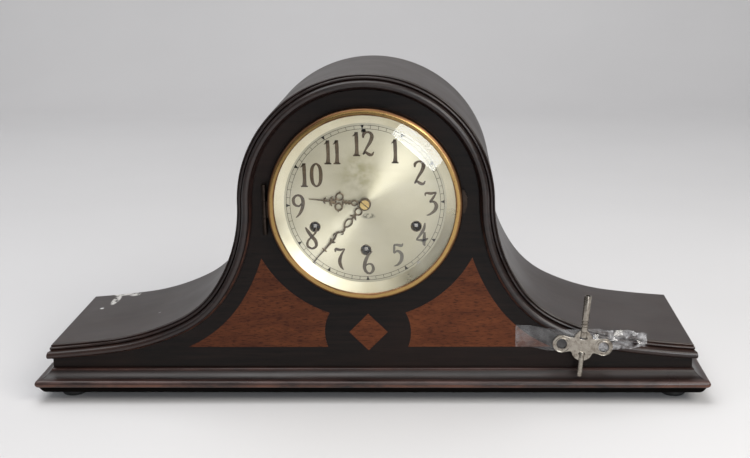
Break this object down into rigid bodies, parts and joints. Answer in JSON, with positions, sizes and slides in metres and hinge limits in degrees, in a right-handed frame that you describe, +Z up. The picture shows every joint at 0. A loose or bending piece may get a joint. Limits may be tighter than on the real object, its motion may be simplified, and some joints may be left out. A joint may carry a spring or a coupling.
{
  "type": "mantel clock",
  "caption": "Tambour mantel clock with an arched case, hinged glass bezel, chiming movement, back door and double-ended winding key.",
  "frame": {"origin": "centre of the clock's footprint, on the surface it stands on", "axes": "+X to the clock's right as its dial is seen, +Y to the back, +Z up"},
  "size_m": [0.572, 0.1645, 0.278],
  "materials": {
    "dark_wood": "semi-gloss, near-black brown stain",
    "plain_wood": "satin, dark stain",
    "foot_wood": "satin black",
    "mahogany": "semi-gloss veneer",
    "silvered_dial": "silvered, spun",
    "silvered_ring": "satin",
    "clear_glass": "convex, clear",
    "clear_tape": "clear film",
    "nickel": "worn nickel plate",
    "iron": "painted",
    "steel": "satin",
    "bronzed_steel": "bronzed",
    "dark_hinge": "darkened",
    "brass": "satin, lacquered"
  },
  "bodies": {
    "case": {"base_board": "dark_wood", "base_moulding": "dark_wood", "feet": "foot_wood", "front_panel": "dark_wood", "inlay_left": "mahogany", "inlay_right": "mahogany", "inlay_diamond": "mahogany", "front_moulding": "dark_wood", "top_skin": "dark_wood", "end_panels": "dark_wood", "back_panel": "plain_wood", "dial_plate": "silvered_dial", "dial_screws": "brass", "bezel_hinge_fixed": "dark_hinge", "movement_front_plate": "brass", "movement_back_plate": "brass", "plate_pillars": "steel", "plate_nuts": "steel", "mounting_posts": "steel", "suspension_cock": "brass", "chime_block": "iron", "chime_rods": "steel", "back_hinge_fixed": "brass"},
    "bezel": {"bezel_ring": "brass", "bezel_sight_ring": "silvered_ring", "bezel_glass": "clear_glass", "bezel_hinge_moving": "dark_hinge", "bezel_catch": "brass"},
    "back_door": {"back_door": "plain_wood", "back_hinge_moving": "brass", "back_door_knob": "brass"},
    "door_button": {"back_door_button": "brass"},
    "minute": {"cannon_pinion": "steel", "minute_hand": "bronzed_steel", "hand_nut": "brass"},
    "minute_wheel": {"minute_wheel": "brass"},
    "hour": {"hour_wheel": "brass", "hour_hand": "bronzed_steel"},
    "time_barrel": {"time_barrel": "brass"},
    "second_wheel": {"second_wheel": "brass"},
    "centre_wheel": {"centre_wheel": "brass"},
    "third_wheel": {"third_wheel": "brass"},
    "escape_wheel": {"escape_wheel": "brass"},
    "time_arbor": {"time_winding_arbor": "steel"},
    "strike_arbor": {"strike_winding_arbor": "steel"},
    "chime_arbor": {"chime_winding_arbor": "steel"},
    "verge": {"verge": "steel"},
    "pendulum": {"pendulum_rod": "steel", "pendulum_bob": "brass"},
    "strike_barrel": {"strike_barrel": "brass"},
    "strike_wheel": {"strike_wheel": "brass"},
    "strike_fly": {"strike_fly": "brass"},
    "chime_barrel": {"chime_barrel": "brass"},
    "chime_drum": {"chime_drum": "brass"},
    "chime_fly": {"chime_fly": "brass"},
    "hammer_1": {"hammer_1": "steel"},
    "hammer_2": {"hammer_2": "steel"},
    "hammer_3": {"hammer_3": "steel"},
    "key": {"winding_key": "nickel", "key_tape": "clear_tape"}
  },
  "joints": [
    {"name": "bezel_swing", "type": "hinge", "parent": "case", "child": "bezel", "pos_m": [-0.0833, -0.0697, 0.171], "axis": [0, 0, -1], "range_deg": [0, 100]},
    {"name": "back_door_swing", "type": "hinge", "parent": "case", "child": "back_door", "pos_m": [-0.0854, 0.0794, 0.146], "axis": [0, 0, 1], "range_deg": [0, 110]},
    {"name": "door_button_turn", "type": "hinge", "parent": "case", "child": "door_button", "pos_m": [0.092, 0.0785, 0.128], "axis": [0, 1, 0], "range_deg": [0, 90]},
    {"name": "minute_turn", "type": "hinge", "parent": "case", "child": "minute", "pos_m": [0, -0.0555, 0.171], "axis": [0, 1, 0], "continuous": true},
    {"name": "minute_wheel_turn", "type": "hinge", "parent": "case", "child": "minute_wheel", "pos_m": [0.00983, -0.0465, 0.16412], "axis": [0, 1, 0], "continuous": true},
    {"name": "hour_turn", "type": "hinge", "parent": "case", "child": "hour", "pos_m": [0, -0.0515, 0.171], "axis": [0, 1, 0], "continuous": true},
    {"name": "escape_turn", "type": "hinge", "parent": "case", "child": "escape_wheel", "pos_m": [0, -0.0055, 0.19686], "axis": [0, 1, 0], "continuous": true},
    {"name": "third_turn", "type": "hinge", "parent": "case", "child": "third_wheel", "pos_m": [-0.01029, -0.0055, 0.1857], "axis": [0, 1, 0], "continuous": true},
    {"name": "centre_turn", "type": "hinge", "parent": "case", "child": "centre_wheel", "pos_m": [0, -0.0055, 0.171], "axis": [0, 1, 0], "continuous": true},
    {"name": "second_turn", "type": "hinge", "parent": "case", "child": "second_wheel", "pos_m": [-0.01033, -0.0055, 0.15482], "axis": [0, 1, 0], "continuous": true},
    {"name": "time_barrel_turn", "type": "hinge", "parent": "case", "child": "time_barrel", "pos_m": [0, -0.0185, 0.1315], "axis": [0, 1, 0], "continuous": true},
    {"name": "time_winding", "type": "hinge", "parent": "case", "child": "time_arbor", "pos_m": [0, -0.0405, 0.1315], "axis": [0, 1, 0], "continuous": true},
    {"name": "strike_winding", "type": "hinge", "parent": "case", "child": "strike_arbor", "pos_m": [-0.042, -0.0405, 0.1515], "axis": [0, 1, 0], "continuous": true},
    {"name": "chime_winding", "type": "hinge", "parent": "case", "child": "chime_arbor", "pos_m": [0.042, -0.0405, 0.1515], "axis": [0, 1, 0], "continuous": true},
    {"name": "pendulum_swing", "type": "hinge", "parent": "case", "child": "pendulum", "pos_m": [0, 0.0145, 0.21236], "axis": [0, 1, 0], "range_deg": [-5, 5]},
    {"name": "verge_rock", "type": "hinge", "parent": "case", "child": "verge", "pos_m": [0, -0.0055, 0.21236], "axis": [0, 1, 0], "range_deg": [-5, 5]},
    {"name": "strike_fly_turn", "type": "hinge", "parent": "case", "child": "strike_fly", "pos_m": [-0.04101, -0.0205, 0.18928], "axis": [0, 1, 0], "continuous": true},
    {"name": "strike_wheel_turn", "type": "hinge", "parent": "case", "child": "strike_wheel", "pos_m": [-0.0486, -0.0055, 0.17613], "axis": [0, 1, 0], "continuous": true},
    {"name": "strike_barrel_turn", "type": "hinge", "parent": "case", "child": "strike_barrel", "pos_m": [-0.042, -0.0185, 0.1515], "axis": [0, 1, 0], "continuous": true},
    {"name": "chime_fly_turn", "type": "hinge", "parent": "case", "child": "chime_fly", "pos_m": [0.03539, -0.0205, 0.12319], "axis": [0, 1, 0], "continuous": true},
    {"name": "chime_drum_turn", "type": "hinge", "parent": "case", "child": "chime_drum", "pos_m": [0.05034, -0.0155, 0.12582], "axis": [0, 1, 0], "continuous": true},
    {"name": "chime_barrel_turn", "type": "hinge", "parent": "case", "child": "chime_barrel", "pos_m": [0.042, -0.0185, 0.1515], "axis": [0, 1, 0], "continuous": true},
    {"name": "hammer_1_lift", "type": "hinge", "parent": "case", "child": "hammer_1", "pos_m": [0.024, -0.025, 0.104], "axis": [0, 1, 0], "range_deg": [0, 12], "stiffness_Nm_per_rad": 0.01, "springref_deg": -14.32},
    {"name": "hammer_2_lift", "type": "hinge", "parent": "case", "child": "hammer_2", "pos_m": [0.024, -0.017, 0.104], "axis": [0, 1, 0], "range_deg": [0, 12], "stiffness_Nm_per_rad": 0.01, "springref_deg": -14.32},
    {"name": "hammer_3_lift", "type": "hinge", "parent": "case", "child": "hammer_3", "pos_m": [0.024, -0.009, 0.104], "axis": [0, 1, 0], "range_deg": [0, 12], "stiffness_Nm_per_rad": 0.01, "springref_deg": -14.32},
    {"name": "key_lift_off", "type": "slide", "parent": "case", "child": "key", "axis": [0, -1, 0], "range_m": [0, 0.12]}
  ],
  "couplings": [
    {"joint": "minute_wheel_turn", "follows": "minute_turn", "ratio": -0.33333},
    {"joint": "hour_turn", "follows": "minute_turn", "ratio": 0.083333},
    {"joint": "centre_turn", "follows": "minute_turn", "ratio": 1},
    {"joint": "second_turn", "follows": "minute_turn", "ratio": -0.14286},
    {"joint": "time_barrel_turn", "follows": "minute_turn", "ratio": 0.019048},
    {"joint": "third_turn", "follows": "minute_turn", "ratio": -12},
    {"joint": "escape_turn", "follows": "minute_turn", "ratio": 120},
    {"joint": "verge_rock", "follows": "pendulum_swing", "ratio": 1},
    {"joint": "strike_wheel_turn", "follows": "strike_barrel_turn", "ratio": -7.5},
    {"joint": "strike_fly_turn", "follows": "strike_barrel_turn", "ratio": 75},
    {"joint": "chime_drum_turn", "follows": "chime_barrel_turn", "ratio": -5},
    {"joint": "chime_fly_turn", "follows": "chime_barrel_turn", "ratio": 50}
  ]
}
